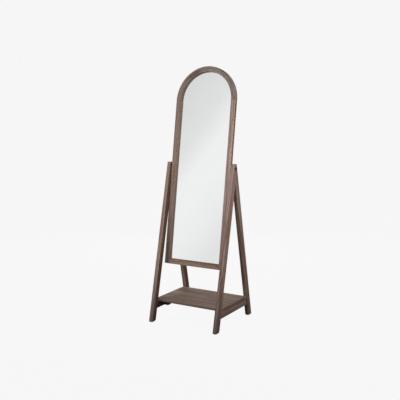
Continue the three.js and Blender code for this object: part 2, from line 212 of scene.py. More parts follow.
def applied(piece):
    """Bakes the piece's modifiers into its mesh."""
    evaluated = piece.evaluated_get(bpy.context.evaluated_depsgraph_get())
    mesh = bpy.data.meshes.new_from_object(evaluated)
    piece.modifiers.clear()
    piece.data = mesh
    return piece


def eased(piece, radius=ARRIS, is_joint=lambda point: False):
    """Rounds the piece's edges: lightly where is_joint says that two boards meet."""
    bm = bmesh.new()
    bm.from_mesh(piece.data)
    weights = bm.edges.layers.float.new("bevel_weight_edge")
    for edge in bm.edges:
        if edge.calc_face_angle(0) > ROUNDED_ANGLE:
            middle = (edge.verts[0].co + edge.verts[1].co) / 2
            edge[weights] = JOINT_ARRIS / radius if is_joint(middle) else 1
    bm.to_mesh(piece.data)
    bm.free()
    bevel = piece.modifiers.new("arris", "BEVEL")
    bevel.limit_method = "WEIGHT"
    bevel.width = radius
    bevel.segments = ARRIS_STEPS
    applied(piece)
    mark_arrises(piece, radius)
    return piece


def mark_arrises(piece, radius):
    """Starts the record of how bare the piece's faces are and of the painted light and shade on them, with the
    narrow ones on its rounded edges bare.
    """
    marks = piece.data.attributes.new("wear_and_painted_light", "FLOAT", "FACE")
    for polygon in piece.data.polygons:
        corners = [piece.data.vertices[index].co for index in polygon.vertices]
        longest = max((a - b).length for a, b in zip(corners, corners[1:] + corners[:1]))
        width = polygon.area / longest
        marks.data[polygon.index].value = ARRIS_BARENESS if width < radius else 0


def mark_faces(piece, wear_and_painted_light, chosen):
    """Sets how bare of stain the chosen faces are, or how much painted light or shade they get."""
    marks = piece.data.attributes["wear_and_painted_light"]
    for polygon in piece.data.polygons:
        if chosen(polygon):
            marks.data[polygon.index].value = wear_and_painted_light
    return piece


def mark_side(piece, wear_and_painted_light, direction):
    """Sets how bare of stain the flat face that looks in a direction is, or how much painted light or shade it
    gets.
    """
    mark_faces(piece, wear_and_painted_light, lambda polygon: polygon.normal.dot(Vector(direction)) > SQUARE_ON)


def cut(piece, cutters):
    """Cuts a list of bmesh solids out of the piece."""
    for number, cutter in enumerate(cutters):
        tool = mesh_object(f"cutter_{number}", cutter)
        boolean = piece.modifiers.new("cut", "BOOLEAN")
        boolean.operation = "DIFFERENCE"
        boolean.solver = "EXACT"
        boolean.object = tool
        applied(piece)
        bpy.data.objects.remove(tool)
    return piece


def shaded(piece, angle=SMOOTH_ANGLE):
    """Smooth across rounded edges and curves, flat on flat faces."""
    piece.data.shade_smooth()
    piece.data.set_sharp_from_angle(angle=angle)
    normals = piece.modifiers.new("normals", "WEIGHTED_NORMAL")
    normals.keep_sharp = True
    return applied(piece)


def board_axes(origin, grain, face, place=STAND):
    """How a board or plate lies in the world: X along its grain or length, Z square to its widest face."""
    x = Vector(grain).normalized()
    z = (Vector(face) - Vector(face).dot(x) * x).normalized()
    axes = Matrix((x, z.cross(x), z)).transposed().to_4x4()
    axes.translation = origin
    return place @ axes


def fit(piece, node, body, material, place=STAND):
    """Puts a finished piece in its place, instead of the CAD node that it stands for."""
    piece.data.materials.clear()
    piece.data.materials.append(material)
    piece.data.transform(place @ piece.matrix_world)
    piece.matrix_world = Matrix.Identity(4)
    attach(piece, body)
    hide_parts(node)


# ---- Materials ----
class Nodes:
    """A node tree, built one call a node."""

    def __init__(self, tree):
        self.tree = tree
        tree.nodes.clear()

    def add(self, kind, settings=None, **inputs):
        """A new node of a kind, with its settings and its named inputs."""
        node = self.tree.nodes.new("ShaderNode" + kind)
        for key, value in (settings or {}).items():
            setattr(node, key, value)
        for key, value in inputs.items():
            self.feed(node.inputs[key.replace("_", " ")], value)
        return node

    def feed(self, socket, value):
        if isinstance(value, bpy.types.NodeSocket):
            self.tree.links.new(value, socket)
        else:
            socket.default_value = value

    def calc(self, operation, first, second=0.0, third=0.0):
        node = self.add("Math", {"operation": operation})
        for socket, value in zip(node.inputs, (first, second, third)):
            self.feed(socket, value)
        return node.outputs[0]

    def total(self, start, *terms):
        """start, plus each term's value times its weight."""
        for value, weight in terms:
            start = self.calc("MULTIPLY_ADD", value, weight, start)
        return start

    def vector(self, operation, first, second=(0, 0, 0)):
        node = self.add("VectorMath", {"operation": operation})
        self.feed(node.inputs[0], first)
        self.feed(node.inputs[1], second)
        return node.outputs["Value" if operation in ("LENGTH", "DOT_PRODUCT") else "Vector"]

    def scaled(self, vector, factors):
        return self.vector("MULTIPLY", vector, factors)

    def even(self, value):
        """The same value on all three axes or channels."""
        return self.add("CombineXYZ", X=value, Y=value, Z=value).outputs[0]

    def noise(self, vector, scale=1.0, detail=2.0, roughness=0.5):
        node = self.add("TexNoise", Vector=vector, Scale=scale, Detail=detail, Roughness=roughness)
        return node.outputs["Fac"]

    def spread(self, value, low, high, to_low=0.0, to_high=1.0):
        """Goes smoothly from to_low to to_high while the value goes from low to high."""
        node = self.add("MapRange", {"interpolation_type": "SMOOTHSTEP"}, Value=value)
        for socket, limit in zip(node.inputs[1:5], (low, high, to_low, to_high)):
            socket.default_value = limit
        return node.outputs["Result"]

    def ramp(self, value, stops):
        """A colour for each value, from stops of a position and a colour."""
        node = self.add("ValToRGB", Fac=value)
        elements = node.color_ramp.elements
        while len(elements) < len(stops):
            elements.new(1.0)
        for element, (position, colour) in zip(elements, stops):
            element.position = position
            element.color = (*colour, 1)
        return node.outputs["Color"]

    def mixed(self, factor, first, second, blend="MIX"):
        node = self.add("Mix", {"data_type": "RGBA", "blend_type": blend})
        self.feed(node.inputs[0], factor)
        self.feed(node.inputs[6], first)
        self.feed(node.inputs[7], second)
        return node.outputs[2]

    def tinted(self, colour, tint):
        return self.mixed(1.0, colour, tint, "MULTIPLY")

    def bump(self, height, strength, distance):
        return self.add("Bump", Height=height, Strength=strength, Distance=distance).outputs["Normal"]


class Surface(Nodes):
    """A material and its nodes."""

    def __init__(self, name):
        self.material = bpy.data.materials.new(name)
        self.material.use_nodes = True
        super().__init__(self.material.node_tree)
        self.own = self.add("TexCoord").outputs  # places and directions in the object's own axes

    def finish(self, shader):
        output = self.add("OutputMaterial")
        self.tree.links.new(shader.outputs[0], output.inputs["Surface"])
        return self.material

    def principled(self, **inputs):
        return self.finish(self.add("BsdfPrincipled", **inputs))


def grey(level):
    return (level, level, level, 1)


# ---- Stained wood ----
RING_PITCH = 5.5 * MM  # of the growth rings
HEART_NEAR = 0.05  # from a board's middle to the middle of its log, at least
HEART_FAR = 0.10  # and at most
WANDER = 0.016  # width of the band in which the grain strays
# The stain's colour by its depth, from where the wood has taken least to where it has taken most.
STAIN = (
    (0.10, (0.355, 0.268, 0.226)),
    (0.36, (0.243, 0.167, 0.131)),
    (0.60, (0.163, 0.103, 0.075)),
    (0.88, (0.078, 0.042, 0.028)),
)
# That depth is a start, plus what the rings, the streaks and the fibres add where they are strongest.
START_DEPTH = -0.67
RING_DEPTH = 0.26
STREAK_DEPTH = 1.40
FIBRE_DEPTH = 0.40
# The colour's green is scaled by between these, less on a red board. Its blue is scaled by the same,
# and again by between the second two, more on a mauve board.
GREEN_SHARES = (1.22, 0.97)
RED_SHIFT = 0.20
BLUE_SHARES = (1.02, 0.83)
MAUVE_SHIFT = 0.14
PORE_COLOUR = (0.045, 0.030, 0.024, 1)
PORE_STRENGTH = 0.55
END_GRAIN_COLOUR = (0.055, 0.038, 0.030, 1)
# Colour of bare wood on worn edges, and of the painted light on the mirror frame's reveal.
WORN_AND_PAINTED_LIGHT_COLOUR = (0.395, 0.286, 0.222, 1)
PAINTED_SHADE_TINT = (0.64, 0.50, 0.41, 1)  # painted shade: what the colour is multiplied by on faces marked below 0
GLUE_COLOUR = (0.05, 0.034, 0.028, 1)
# Roughness of a plain face, and what rubbing and the fibres add to it.
WOOD_ROUGHNESS = 0.42
RUBBED_ROUGHNESS = -0.15
FIBRE_ROUGHNESS = 0.22
# How high the fibres, the pores and the rings stand, as shares of RELIEF.
FIBRE_HEIGHT = 0.6
PORE_HEIGHT = -0.8
RING_HEIGHT = 0.3
RELIEF = 0.25 * MM

Grain = namedtuple("Grain", "log bent rings streaks fibres pores")
Strips = namedtuple("Strips", "coords tone edge")


def round_bend(surface, coords, bend_radius):
    """Straightens a bent board: X runs along its middle line, and Y across it."""
    flat = surface.add("SeparateXYZ", Vector=coords).outputs
    turn = surface.calc("ARCTAN2", flat["Y"], flat["X"])
    reach = surface.vector("LENGTH", surface.scaled(coords, (1, 1, 0)))
    along = surface.calc("MULTIPLY", turn, bend_radius)
    across = surface.calc("SUBTRACT", reach, bend_radius)
    return surface.add("CombineXYZ", X=along, Y=across, Z=flat["Z"]).outputs[0]


def glued_strips(surface, coords, width):
    """Makes a board of strips, each cut from another place in the log. Each has a tone of its own, from
    0 to 1, and edge goes from 0 at a glue line to 0.5 in the middle of a strip."""
    across = surface.add("SeparateXYZ", Vector=coords).outputs["Y"]
    place = surface.calc("DIVIDE", across, width)
    number = surface.calc("FLOOR", place)
    draw = surface.add("TexWhiteNoise", {"noise_dimensions": "1D"}, W=number).outputs
    moved = surface.vector("ADD", coords, surface.scaled(draw["Color"], (0.9, 0.06, 0.05)))
    return Strips(moved, draw["Value"], surface.calc("PINGPONG", place, 0.5))


def drawn_out(surface, coords, along, across, detail=2, roughness=0.5):
    """Noise that is drawn out along the grain, from its waves in a metre along and across it."""
    return surface.noise(surface.scaled(coords, (along, across, across)), 1.0, detail, roughness)


def wood_grain(surface, coords, draw):
    """The grain of a board that is cut from a log of its own, from coordinates with X along the board."""
    heart_angle = draw.uniform(0, 2 * math.pi)
    heart = draw.uniform(HEART_NEAR, HEART_FAR)
    log = surface.add(
        "Mapping", Vector=coords,
        Location=(draw.uniform(-9, 9), heart * math.cos(heart_angle), heart * math.sin(heart_angle)),
        Rotation=(0, draw.uniform(-0.02, 0.02), draw.uniform(-0.02, 0.02))).outputs["Vector"]
    # Growth rings about the heart of the log, bent by a slow wander along the grain.
    slow = surface.add("TexNoise", Vector=surface.scaled(log, (3, 14, 14)), Scale=1, Detail=2)
    swing = surface.vector("SUBTRACT", slow.outputs["Color"], (0.5, 0.5, 0.5))
    bent = surface.vector("ADD", log, surface.scaled(swing, (0, WANDER, WANDER)))
    radius = surface.vector("LENGTH", surface.scaled(bent, (0, 1, 1)))
    ring = surface.calc("FRACT", surface.calc("DIVIDE", radius, RING_PITCH))
    late_wood = surface.spread(ring, 0.45, 0.95)
    early_edge = surface.spread(ring, 0.0, 0.12, 1.0, 0.0)
    rings = surface.calc("MAXIMUM", late_wood, early_edge)
    # Broad streaks of stain, finer fibres and short dark pores, all drawn out along the grain.
    streaks = drawn_out(surface, bent, 2.2, 95, detail=3, roughness=0.6)
    fibres = drawn_out(surface, bent, 14, 620, detail=3, roughness=0.65)
    pores = surface.spread(drawn_out(surface, log, 45, 1500, detail=1), 0.60, 0.70)
    return Grain(log, bent, rings, streaks, fibres, pores)


def stain_colour(surface, grain, red, mauve):
    """The stain on the grain. It is redder in some streaks, and yellower in others."""
    depth = surface.total(START_DEPTH, (grain.rings, RING_DEPTH), (grain.streaks, STREAK_DEPTH),
                          (grain.fibres, FIBRE_DEPTH))
    reddening = drawn_out(surface, grain.bent, 1.7, 62)
    yellowing = drawn_out(surface, grain.log, 1.2, 48)
    green = surface.spread(reddening, 0.30, 0.70, *(share - RED_SHIFT * red for share in GREEN_SHARES))
    bluer = surface.spread(yellowing, 0.32, 0.68, *(share + MAUVE_SHIFT * mauve for share in BLUE_SHARES))
    blue = surface.calc("MULTIPLY", green, bluer)
    cast = surface.add("CombineXYZ", X=1.0, Y=green, Z=blue).outputs[0]
    colour = surface.tinted(surface.ramp(depth, STAIN), cast)
    return surface.mixed(surface.calc("MULTIPLY", grain.pores, PORE_STRENGTH), colour, PORE_COLOUR)


def end_grain(surface, colour, axes, end_stain):
    """End grain drinks more stain."""
    grain_direction = axes.to_3x3() @ Vector((1, 0, 0))
    endways = surface.vector("DOT_PRODUCT", surface.own["Normal"], grain_direction)
    mask = surface.spread(surface.calc("ABSOLUTE", endways), 0.75, 0.95, 0.0, end_stain)
    return surface.mixed(mask, colour, END_GRAIN_COLOUR)


def paint_foot_shade(surface, colour, foot_tone):
    """Painted shade: a leg gets darker towards the floor."""
    height = surface.add("SeparateXYZ", Vector=surface.own["Object"]).outputs["Z"]
    tone = surface.spread(height, FOOT_DARKEST, FOOT_TOP, foot_tone, 1.0)
    return surface.tinted(colour, surface.even(tone))


def strip_colour(surface, colour, strips):
    """Strips differ a little in tone, and meet in thin dark glue lines."""
    tone = surface.spread(strips.tone, 0.0, 1.0, 0.84, 1.12)
    glue_line = surface.spread(strips.edge, 0.0, 0.012, 0.75, 0.0)
    return surface.mixed(glue_line, surface.tinted(colour, surface.even(tone)), GLUE_COLOUR)


def wood(name, axes, tone, red, mauve, strip_width=None, bend_radius=None, end_stain=END_STAIN,
         foot_tone=None):
    """Stained hardwood. axes say how the board lies, with X along the grain. tone scales the colour, both as
    the board's own tone and as painted light and shade; red goes from grey brown at 0 to red brown at 1,
    and mauve from yellowish to pinkish. strip_width is for a board that is glued up from strips, and
    bend_radius for one that is bent about its axes, whose ends are hidden in its joints. end_stain is how
    dark the end grain is, and foot_tone scales the colour of a leg at the floor, as painted shade."""
    surface = Surface(name)
    inverse = axes.inverted()
    coords = surface.add("Mapping", Vector=surface.own["Object"], Location=inverse.translation,
                         Rotation=inverse.to_euler()).outputs["Vector"]
    if bend_radius:
        coords = round_bend(surface, coords, bend_radius)
    if strip_width:
        strips = glued_strips(surface, coords, strip_width)
        coords = strips.coords
    grain = wood_grain(surface, coords, random.Random(name))
    colour = stain_colour(surface, grain, red, mauve)
    if not bend_radius:
        colour = end_grain(surface, colour, axes, end_stain)
    # Bare faces have lost stain, most of it from the deeper streaks; on the mirror frame's reveal the same
    # lightening is painted light. Faces below 0 are darkened with painted shade.
    wear_and_painted_light = surface.add("Attribute", {"attribute_name": "wear_and_painted_light"}).outputs["Fac"]
    rubbed_and_painted_light = surface.calc("MULTIPLY", wear_and_painted_light, surface.spread(grain.streaks, 0.35, 0.65, 0.05, 0.40))
    colour = surface.mixed(rubbed_and_painted_light, colour, WORN_AND_PAINTED_LIGHT_COLOUR)
    painted_shade = surface.spread(wear_and_painted_light, -1.0, 0.0, 1.0, 0.0)
    colour = surface.mixed(painted_shade, colour, PAINTED_SHADE_TINT, "MULTIPLY")
    if strip_width:
        colour = strip_colour(surface, colour, strips)
    if foot_tone:
        colour = paint_foot_shade(surface, colour, foot_tone)
    colour = surface.tinted(colour, grey(tone))
    roughness = surface.total(WOOD_ROUGHNESS, (rubbed_and_painted_light, RUBBED_ROUGHNESS), (grain.fibres, FIBRE_ROUGHNESS))
    height = surface.total(0.0, (grain.fibres, FIBRE_HEIGHT), (grain.pores, PORE_HEIGHT),
                           (grain.rings, RING_HEIGHT))
    return surface.principled(Base_Color=colour, Roughness=roughness, Specular_IOR_Level=0.03,
                              Normal=surface.bump(height, 0.35, RELIEF))


# Each board's tone, partly its own and partly painted light and shade for how brightly it is lit, and how red and
# how mauve it is.
BOARD_LOOKS_AND_PAINTED_LIGHT = {
    "left_front_leg": (1.08, 0.5, 0.85), "left_rear_leg": (0.98, 0.4, 0.4),
    "right_front_leg": (1.05, 0.65, 0.65), "right_rear_leg": (0.98, 0.75, 0.15),
    "left_side_rail": (0.50, 0.6, 0.3), "right_side_rail": (1.15, 0.5, 0.7),
    "shelf_board": (0.93, 0.45, 0.65),
    "left_stile": (0.81, 0.6, 0.1), "right_stile": (1.20, 0.5, 1.0),
    "left_arch_segment": (0.73, 0.1, 0.8), "right_arch_segment": (0.81, 0.1, 0.95),
    "mirror_bottom_rail": (0.95, 1.0, 0.1),
}
# The shelf blocks' low tone is painted shade, for their place under the shelf.
SHELF_BLOCK_SHADED_LOOK = (0.5, 0.8, 0.5)


def board_wood(node, axes, **options):
    return wood(f"{node}_wood", axes, *BOARD_LOOKS_AND_PAINTED_LIGHT[node], **options)


# ---- Glass, boards and metals ----
def mirror_silver():
    """Silvered float glass: very slightly cool, with the faintest haze where it has been wiped."""
    surface = Surface("silvered_glass_look")
    wipes = surface.noise(surface.scaled(surface.own["Object"], (3, 1, 9)), detail=3)
    colour = surface.mixed(surface.spread(wipes, 0.3, 0.7), (0.900, 0.914, 0.916, 1),
                           (0.912, 0.926, 0.928, 1))
    roughness = surface.spread(wipes, 0.35, 0.75, 0.006, 0.022)
    return surface.principled(Base_Color=colour, Metallic=1.0, Roughness=roughness)


def hardboard_look():
    """Smooth brown hardboard: fine pressed fibres, a little lighter and darker in blotches."""
    surface = Surface("hardboard_look")
    fibres = surface.noise(surface.own["Object"], scale=420, detail=6, roughness=0.75)
    blotches = surface.noise(surface.own["Object"], scale=9, detail=3)
    depth = surface.total(0.0, (fibres, 0.7), (blotches, 0.3))
    colour = surface.ramp(depth, (
        (0.32, (0.070, 0.038, 0.020)),
        (0.50, (0.135, 0.078, 0.042)),
        (0.68, (0.215, 0.135, 0.078)),
    ))
    roughness = surface.spread(fibres, 0.2, 0.8, 0.58, 0.80)
    return surface.principled(Base_Color=colour, Roughness=roughness, Specular_IOR_Level=0.35,
                              Normal=surface.bump(fibres, 0.3, 0.2 * MM))


def metal(name, dark, light, rough_low, rough_high):
    """Plated, blackened or turned metal: fine mottling in the colour, the gloss and the surface."""
    surface = Surface(name)
    mottle = surface.noise(surface.own["Object"], scale=900, detail=4, roughness=0.6)
    marks = surface.noise(surface.own["Object"], scale=150, detail=2)
    colour = surface.mixed(surface.spread(mottle, 0.3, 0.7), (*dark, 1), (*light, 1))
    wear = surface.total(0.0, (marks, 0.5), (mottle, 0.5))
    roughness = surface.spread(wear, 0.3, 0.7, rough_low, rough_high)
    return surface.principled(Base_Color=colour, Metallic=1.0, Roughness=roughness,
                              Normal=surface.bump(mottle, 0.2, 0.05 * MM))


def nylon_look():
    """Black moulded nylon with a fine spark-eroded texture and scuffs."""
    surface = Surface("nylon_look")
    texture = surface.noise(surface.own["Object"], scale=1400, detail=2)
    scuffs = surface.noise(surface.scaled(surface.own["Object"], (60, 260, 120)), detail=3)
    colour = surface.mixed(surface.spread(scuffs, 0.55, 0.75), (0.018, 0.016, 0.015, 1),
                           (0.060, 0.056, 0.052, 1))
    roughness = surface.spread(texture, 0.3, 0.7, 0.42, 0.60)
    return surface.principled(Base_Color=colour, Roughness=roughness,
                              Normal=surface.bump(texture, 0.25, 0.08 * MM))


def beech_look():
    """Bare beech for the dowels: pale, with darker flecks."""
    surface = Surface("beech_look")
    flecks = surface.noise(surface.own["Object"], scale=700, detail=3)
    colour = surface.ramp(flecks, (
        (0.35, (0.58, 0.40, 0.23)),
        (0.60, (0.48, 0.31, 0.17)),
        (0.72, (0.30, 0.17, 0.09)),
    ))
    roughness = surface.spread(flecks, 0.3, 0.7, 0.55, 0.75)
    return surface.principled(Base_Color=colour, Roughness=roughness,
                              Normal=surface.bump(flecks, 0.2, 0.1 * MM))


SILVER = mirror_silver()
HARDBOARD = hardboard_look()
BLACK_STEEL = metal("black_steel_look", (0.020, 0.018, 0.016), (0.048, 0.044, 0.040), 0.34, 0.52)
ZINC = metal("zinc_steel_look", (0.46, 0.47, 0.48), (0.62, 0.63, 0.63), 0.26, 0.44)
BRASS = metal("brass_look", (0.50, 0.33, 0.12), (0.64, 0.44, 0.18), 0.24, 0.40)
NYLON = nylon_look()
BEECH = beech_look()


# ---- Side frames ----
def leg_slope():
    """How far a leg's outer edge runs out for each unit that it drops."""
    low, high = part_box("right_rear_leg")
    return (high.y - APEX_DEPTH / 2) / (high.z - low.z)


SLOPE = leg_slope()


def make_leg(side_name, side, end_name, end):
    node = f"{side_name}_{end_name}_leg"
    low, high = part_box(node)
    foot = max(abs(low.y), abs(high.y))
    mitre = min(abs(low.y), abs(high.y))
    crotch = high.z - (mitre + LEG_DEPTH - APEX_DEPTH / 2) / SLOPE
    corners = [(foot, low.z), (foot - LEG_DEPTH, low.z), (mitre, crotch), (mitre, high.z),
               (APEX_DEPTH / 2, high.z)]
    outline = [(low.x, end * y, z) for y, z in corners]
    leg = mesh_object(f"{node}_finished", extruded(outline, (high.x - low.x, 0, 0)))
    eased(leg, is_joint=lambda point: abs(abs(point.y) - mitre) < IN_LINE)
    mark_side(leg, INNER_FACE_PAINTED_SHADE, (-side, 0, 0))
    bore_centre = ((low.x + high.x) / 2, 0, PIVOT.z)
    bore = drill(bore_centre, (1, 0, 0), BOLT_BORE, 2 * (high.x - low.x))
    dowels = [f"{side_name}_apex_dowel_{number}" for number in (1, 2)]
    dowels.append(f"{side_name}_{end_name}_rail_dowel")
    shaded(cut(leg, [bore, *(drill_for(dowel) for dowel in dowels)]))
    axes = board_axes((low + high) / 2, (0, -end * SLOPE, 1), (1, 0, 0))
    looks = board_wood(node, axes, end_stain=LEG_END_STAIN, foot_tone=FOOT_SHADE_TONES[side_name])
    fit(leg, node, "stand", looks)


def make_side_rail(side_name, side):
    node = f"{side_name}_side_rail"
    low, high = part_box(node)
    top = high.y - SLOPE * (high.z - low.z)
    outline = [(low.x, -high.y, low.z), (low.x, high.y, low.z), (low.x, top, high.z), (low.x, -top, high.z)]
    rail = mesh_object(f"{node}_finished", extruded(outline, (high.x - low.x, 0, 0)))
    eased(rail, is_joint=lambda point: abs(point.y) > top - ARRIS)
    mark_side(rail, INNER_FACE_PAINTED_SHADE, (-side, 0, 0))
    shaded(cut(rail, [drill_for(f"{side_name}_{end_name}_rail_dowel") for end_name, _ in ENDS]))
    axes = board_axes((low + high) / 2, (0, 1, 0), (1, 0, 0))
    fit(rail, node, "stand", board_wood(node, axes))


def make_glide(side_name, end_name):
    """A moulded pad with rounded corners and edges."""
    node = f"{side_name}_{end_name}_glide"
    glide = mesh_object(f"{node}_finished", box_solid(*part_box(node)))
    shaded(eased(glide, GLIDE_ROUNDING))
    fit(glide, node, "stand", NYLON)


# ---- Shelf ----
def make_shelf():
    node = "shelf_board"
    low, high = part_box(node)
    shelf = mesh_object(f"{node}_finished", box_solid(low, high))
    eased(shelf)
    for _, end in ENDS:
        mark_side(shelf, SHELF_EDGE_BARENESS, (0, end, 0))
    screws = [f"{side_name}_{end_name}_block_screw" for side_name, _ in SIDES for end_name, _ in ENDS]
    shaded(cut(shelf, [drill_for(screw, radius=BLOCK_SHANK_RADIUS) for screw in screws]))
    axes = board_axes((low + high) / 2, (1, 0, 0), (0, 0, 1))
    strip_width = (high.y - low.y) / SHELF_STRIPS
    fit(shelf, node, "stand", board_wood(node, axes, strip_width=strip_width, end_stain=SHELF_END_STAIN))


def make_shelf_block(side_name, end_name):
    node = f"{side_name}_{end_name}_shelf_block"
    low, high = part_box(node)
    block = mesh_object(f"{node}_finished", box_solid(low, high))
    eased(block)
    shaded(cut(block, [drill_for(f"{side_name}_{end_name}_block_screw", radius=BLOCK_SHANK_RADIUS)]))
    axes = board_axes((low + high) / 2, (0, 1, 0), (1, 0, 0))
    fit(block, node, "stand", wood(f"{node}_wood", axes, *SHELF_BLOCK_SHADED_LOOK))


# ---- Mirror frame, made upright about the pivot axis ----
STILE_LOW, STILE_HIGH = extent("right_stile", MIRROR)
GLASS_LOW, GLASS_HIGH = extent("mirror_glass", MIRROR)
FRAME_RADIUS = STILE_HIGH.x
SIGHT_RADIUS = STILE_LOW.x
REBATE_RADIUS = GLASS_HIGH.x + GLASS_GAP
REBATE_FLOOR = GLASS_LOW.z - GLASS_GAP
REBATE_FRONT = GLASS_LOW.y - DRILL_CLEARANCE
SPRING = STILE_HIGH.z + DRILL_CLEARANCE / 2  # where the arch starts


def arc(radius, start, end, steps=ARC_STEPS):
    """Points of an arc about the arch's centre, as (x, z)."""
    angles = [start + (end - start) * step / steps for step in range(steps + 1)]
    return [(radius * math.cos(angle), SPRING + radius * math.sin(angle)) for angle in angles]


def rebate_cutter():
    """The arched pocket that is cut from the back of the frame for the glass and its backing."""
    outline = [(-REBATE_RADIUS, REBATE_FLOOR), (REBATE_RADIUS, REBATE_FLOOR),
               *arc(REBATE_RADIUS, 0, math.pi, 2 * ARC_STEPS)]
    depth = STILE_HIGH.y - REBATE_FRONT + OVERCUT
    return extruded([(x, REBATE_FRONT, z) for x, z in outline], (0, depth, 0))


def clip_screw_drills(side_name, numbers):
    """Blind holes in the back of the frame for the screws of the backing clips."""
    drills = []
    for number in numbers:
        low, high = extent(f"{side_name}_clip_screw_{number}", MIRROR)
        radius = CLIP_SHANK_RADIUS + DRILL_CLEARANCE
        drills.append(drill((low + high) / 2, (0, 1, 0), radius, high.y - low.y))
    return drills


def paint_reveal_light(piece):
    """Paints light on the narrow inner face of the frame, round the glass, for the light that the glass reflects
    onto it.
    """
    def is_reveal(polygon):
        inwards = Vector((-polygon.center.x, 0, min(SPRING - polygon.center.z, 0))).normalized()
        return polygon.normal.dot(inwards) > ROUGHLY_ON and polygon.center.y < REBATE_FRONT

    return mark_faces(piece, REVEAL_PAINTED_LIGHT, is_reveal)


def make_stile(side_name, side):
    node = f"{side_name}_stile"
    low, high = extent(node, MIRROR)
    stile = mesh_object(f"{node}_finished", box_solid(low, high))
    eased(stile, is_joint=lambda point: point.z > high.z - IN_LINE)
    mark_side(stile, STILE_EDGE_PAINTED_SHADE, (side, 0, 0))
    cutters = [
        rebate_cutter(),
        drill_for(f"{side_name}_threaded_insert", MIRROR),
        drill_for(f"{side_name}_bottom_rail_dowel", MIRROR),
        drill_for(f"{side_name}_spring_dowel", MIRROR),
        *clip_screw_drills(side_name, (1, 2)),
    ]
    shaded(paint_reveal_light(cut(stile, cutters)))
    axes = board_axes((low + high) / 2, (0, 0, 1), (0, -1, 0), MIRROR)
    fit(stile, node, "mirror", board_wood(node, axes), MIRROR)


def make_arch_segment(side_name, side):
    """Half of the arch, bent from thin strips, so the grain follows the curve."""
    node = f"{side_name}_arch_segment"
    low, high = extent(node, MIRROR)
    start, end = (0, math.pi / 2) if side > 0 else (math.pi / 2, math.pi)
    half_gap = DRILL_CLEARANCE / 2
    outline = [*arc(FRAME_RADIUS, start, end), *reversed(arc(SIGHT_RADIUS, start, end))]
    placed = [(x + side * half_gap, low.y, z + half_gap) for x, z in outline]
    segment = mesh_object(f"{node}_finished", extruded(placed, (0, high.y - low.y, 0)))
    crown = side * half_gap
    foot = SPRING + half_gap
    eased(segment, is_joint=lambda point: min(abs(point.x - crown), abs(point.z - foot)) < IN_LINE)
    cutters = [
        rebate_cutter(),
        drill_for(f"{side_name}_spring_dowel", MIRROR),
        drill_for("crown_dowel", MIRROR),
        *clip_screw_drills(side_name, (3,)),
    ]
    shaded(paint_reveal_light(cut(segment, cutters)))
    axes = board_axes((0, 0, SPRING), (1, 0, 0), (0, -1, 0), MIRROR)
    looks = board_wood(node, axes, bend_radius=(FRAME_RADIUS + SIGHT_RADIUS) / 2)
    fit(segment, node, "mirror", looks, MIRROR)


def make_bottom_rail():
    node = "mirror_bottom_rail"
    low, high = extent(node, MIRROR)
    rail = mesh_object(f"{node}_finished", box_solid(low, high))
    eased(rail, is_joint=lambda point: abs(point.x) > high.x - IN_LINE)
    dowels = [drill_for(f"{side_name}_bottom_rail_dowel", MIRROR) for side_name, _ in SIDES]
    shaded(cut(rail, [rebate_cutter(), *dowels]))
    axes = board_axes((low + high) / 2, (1, 0, 0), (0, -1, 0), MIRROR)
    fit(rail, node, "mirror", board_wood(node, axes), MIRROR)


# ---- Hardware ----
def rounded_rim(radius, low, high, rounding):
    """Profile points up the outside of a turned piece and over its rounded upper rim."""
    points = [(radius, low)]
    for step in range(RIM_STEPS + 1):
        angle = math.pi / 2 * step / RIM_STEPS
        points.append((radius - rounding + rounding * math.cos(angle),
                       high - rounding + rounding * math.sin(angle)))
    return points


def place_on_pivot(piece, low, high, side):
    """Lays a piece that was turned about Z along the pivot axis between two corners, its top outwards."""
    start = low.x if side > 0 else high.x
    turn = Matrix.Rotation(side * math.pi / 2, 4, "Y")
    piece.matrix_world = Matrix.Translation((start, 0, PIVOT.z)) @ turn


def make_pivot_bolt(side_name, side):
    """A low cap screw with a hexagon socket, its head outside the side frame."""
    node = f"{side_name}_pivot_bolt"
    low, high = extent(node)
    length = high.x - low.x
    head_radius = (high.z - low.z) / 2
    under_head = length - BOLT_HEAD_HEIGHT
    profile = [(0, 0), (BOLT_SHANK_RADIUS - BOLT_TIP_WIDTH, 0), (BOLT_SHANK_RADIUS, BOLT_TIP_LENGTH),
               (BOLT_SHANK_RADIUS, under_head),
               *rounded_rim(head_radius, under_head, length, BOLT_HEAD_ROUNDING), (0, length)]
    bolt = mesh_object(f"{node}_finished", lathed(profile))
    socket = drill((0, 0, length), (0, 0, 1), SOCKET_RADIUS, 2 * SOCKET_DEPTH, sides=HEXAGON)
    shaded(cut(bolt, [socket]), TURNED_SMOOTH_ANGLE)
    place_on_pivot(bolt, low, high, side)
    fit(bolt, node, "mirror", BLACK_STEEL)


def make_washer(side_name, side, kind, body, material):
    node = f"{side_name}_{kind}"
    low, high = extent(node)
    radius = (high.z - low.z) / 2
    thickness = high.x - low.x
    rounding = min(WASHER_ROUNDING, thickness / 3)
    profile = [(BOLT_BORE, 0), *rounded_rim(radius, 0, thickness, rounding), (BOLT_BORE, thickness)]
    washer = mesh_object(f"{node}_finished", lathed(profile))
    shaded(washer, TURNED_SMOOTH_ANGLE)
    place_on_pivot(washer, low, high, side)
    fit(washer, node, body, material)


